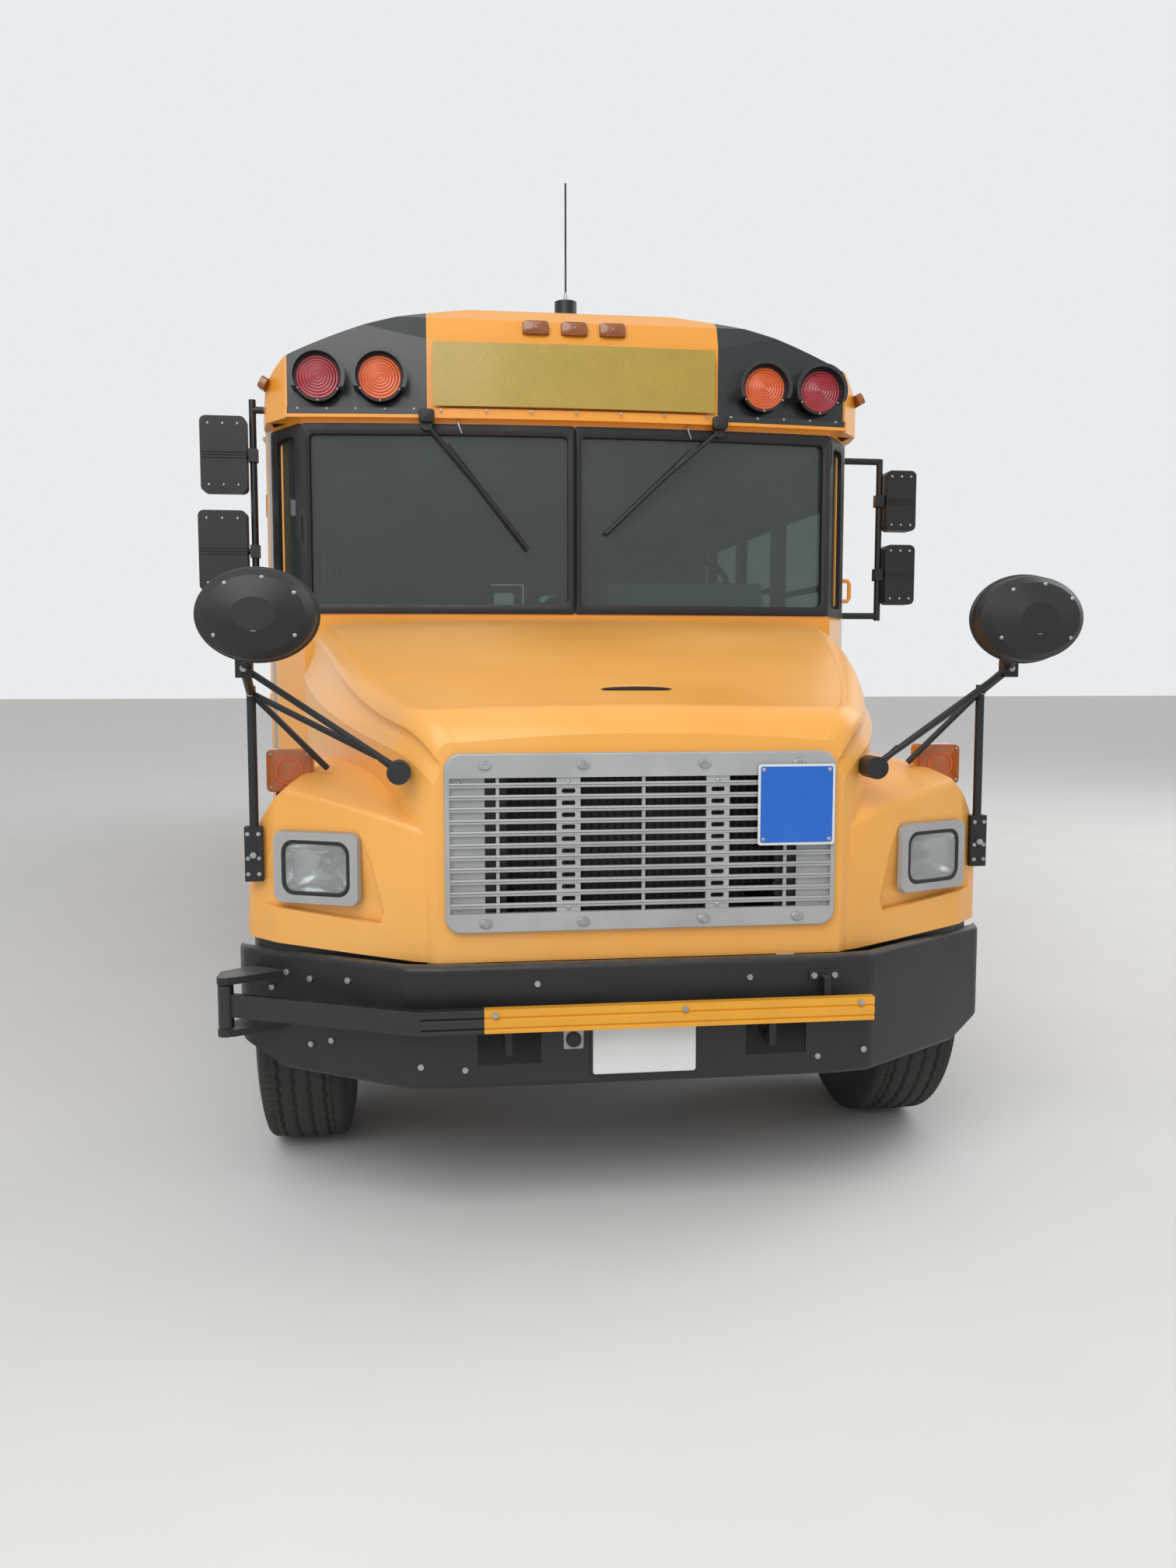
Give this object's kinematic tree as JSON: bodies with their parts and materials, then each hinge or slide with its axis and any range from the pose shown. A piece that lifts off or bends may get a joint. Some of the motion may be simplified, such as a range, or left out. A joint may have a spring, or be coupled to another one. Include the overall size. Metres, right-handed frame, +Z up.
{
  "type": "conventional school bus",
  "caption": "Conventional school bus: ladder frame, tilting hood, glazed passenger body with entry, lift and rear doors, steered front wheels, dual rear wheels, stop arm and crossing gate.",
  "frame": {"origin": "on the ground at the middle of the bus's box", "axes": "+X towards the driver's side (the bus's left), +Y towards the rear, +Z up"},
  "size_m": [3.036, 9.767, 3.53],
  "materials": {
    "chassis_black": "satin chassis paint",
    "bus_yellow": "gloss enamel, weathered",
    "trim_black": "semi-gloss enamel",
    "silver_paint": "satin silver paint",
    "roof_white": "gloss enamel",
    "tyre": "matt rubber",
    "glass": "tinted safety glass",
    "aluminium": "mill finish",
    "seat_vinyl": "coated upholstery fabric",
    "black_plastic": "moulded grain",
    "lamp_lens": "moulded lens",
    "floor_rubber": "ribbed matting",
    "cast_steel": "as cast",
    "stop_red": "enamel"
  },
  "bodies": {
    "bus_body": {"frame": "chassis_black", "front_axle": "cast_steel", "rear_axle": "cast_steel", "engine_block": "cast_steel", "radiator": "aluminium", "fuel_tank": "chassis_black", "exhaust": "aluminium", "front_bumper": "trim_black", "rear_bumper": "trim_black", "floor": "floor_rubber", "entry_steps": "floor_rubber", "left_side": "bus_yellow", "right_side": "bus_yellow", "rub_rails": "trim_black", "roof": "roof_white", "cowl": "bus_yellow", "windshield_frame": "bus_yellow", "front_cap": "bus_yellow", "rear_wall": "bus_yellow", "warning_lamps": "lamp_lens", "small_lamps": "lamp_lens", "window_sashes": "trim_black", "body_glass": "glass", "windshield": "glass", "seat_cushions": "seat_vinyl", "seat_frames": "chassis_black", "driver_seat": "seat_vinyl", "dashboard": "black_plastic", "side_mirrors": "trim_black", "antenna": "trim_black", "wipers": "trim_black", "stop_arm_base": "trim_black"},
    "hood": {"hood": "bus_yellow", "grille": "silver_paint", "headlamp_bezels": "silver_paint", "headlamps": "glass", "turn_signals": "lamp_lens", "crossview_mirrors": "black_plastic"},
    "crossing_gate": {"crossing_gate": "trim_black"},
    "stop_arm": {"stop_arm": "stop_red"},
    "entry_door_front": {"entry_door_front": "bus_yellow", "entry_glass_front": "glass"},
    "entry_door_rear": {"entry_door_rear": "bus_yellow", "entry_glass_rear": "glass"},
    "lift_door": {"lift_door": "bus_yellow", "lift_door_glass": "glass"},
    "rear_door": {"rear_door": "bus_yellow", "rear_door_glass": "glass"},
    "knuckle_left": {"knuckle_left": "cast_steel"},
    "knuckle_right": {"knuckle_right": "cast_steel"},
    "tie_rod": {"tie_rod": "cast_steel"},
    "front_wheel_left": {"front_tyre_left": "tyre", "front_rim_left": "chassis_black"},
    "front_wheel_right": {"front_tyre_right": "tyre", "front_rim_right": "chassis_black"},
    "rear_wheels_left": {"rear_tyres_left": "tyre", "rear_rims_left": "chassis_black"},
    "rear_wheels_right": {"rear_tyres_right": "tyre", "rear_rims_right": "chassis_black"}
  },
  "joints": [
    {"name": "hood_tilt", "type": "hinge", "parent": "bus_body", "child": "hood", "pos_m": [0, -4.5455, 0.83], "axis": [1, 0, 0], "range_deg": [0, 60]},
    {"name": "steer_left", "type": "hinge", "parent": "bus_body", "child": "knuckle_left", "pos_m": [0.86, -3.7255, 0.51], "axis": [0, 0, 1], "range_deg": [-38, 38]},
    {"name": "steer_right", "type": "hinge", "parent": "bus_body", "child": "knuckle_right", "pos_m": [-0.86, -3.7255, 0.51], "axis": [0, 0, 1], "range_deg": [-38, 38]},
    {"name": "tie_rod_pivot", "type": "hinge", "parent": "knuckle_left", "child": "tie_rod", "pos_m": [0.86, -3.5455, 0.392], "axis": [0, 0, 1], "range_deg": [-38, 38]},
    {"name": "front_left_spin", "type": "hinge", "parent": "knuckle_left", "child": "front_wheel_left", "pos_m": [0.985, -3.7255, 0.51], "axis": [1, 0, 0], "continuous": true},
    {"name": "front_right_spin", "type": "hinge", "parent": "knuckle_right", "child": "front_wheel_right", "pos_m": [-0.985, -3.7255, 0.51], "axis": [1, 0, 0], "continuous": true},
    {"name": "rear_left_spin", "type": "hinge", "parent": "bus_body", "child": "rear_wheels_left", "pos_m": [0.895, 1.7865, 0.51], "axis": [1, 0, 0], "continuous": true},
    {"name": "rear_right_spin", "type": "hinge", "parent": "bus_body", "child": "rear_wheels_right", "pos_m": [-0.895, 1.7865, 0.51], "axis": [1, 0, 0], "continuous": true},
    {"name": "entry_front_swing", "type": "hinge", "parent": "bus_body", "child": "entry_door_front", "pos_m": [-1.229, -2.5575, 1.4], "axis": [0, 0, 1], "range_deg": [0, 90]},
    {"name": "entry_rear_swing", "type": "hinge", "parent": "bus_body", "child": "entry_door_rear", "pos_m": [-1.229, -1.7935, 1.4], "axis": [0, 0, -1], "range_deg": [0, 90]},
    {"name": "lift_door_swing", "type": "hinge", "parent": "bus_body", "child": "lift_door", "pos_m": [-1.231, 2.6875, 1.7], "axis": [0, 0, 1], "range_deg": [0, 110]},
    {"name": "rear_door_swing", "type": "hinge", "parent": "bus_body", "child": "rear_door", "pos_m": [-0.427, 4.7655, 1.7], "axis": [0, 0, 1], "range_deg": [0, 105]},
    {"name": "stop_arm_swing", "type": "hinge", "parent": "bus_body", "child": "stop_arm", "pos_m": [1.281, -1.7455, 1.44], "axis": [0, 0, -1], "range_deg": [0, 90]},
    {"name": "crossing_gate_swing", "type": "hinge", "parent": "bus_body", "child": "crossing_gate", "pos_m": [-1.165, -4.4455, 0.62], "axis": [0, 0, -1], "range_deg": [0, 90]}
  ],
  "couplings": [
    {"joint": "steer_right", "follows": "steer_left", "ratio": 1},
    {"joint": "tie_rod_pivot", "follows": "steer_left", "ratio": -1},
    {"joint": "entry_rear_swing", "follows": "entry_front_swing", "ratio": 1}
  ]
}
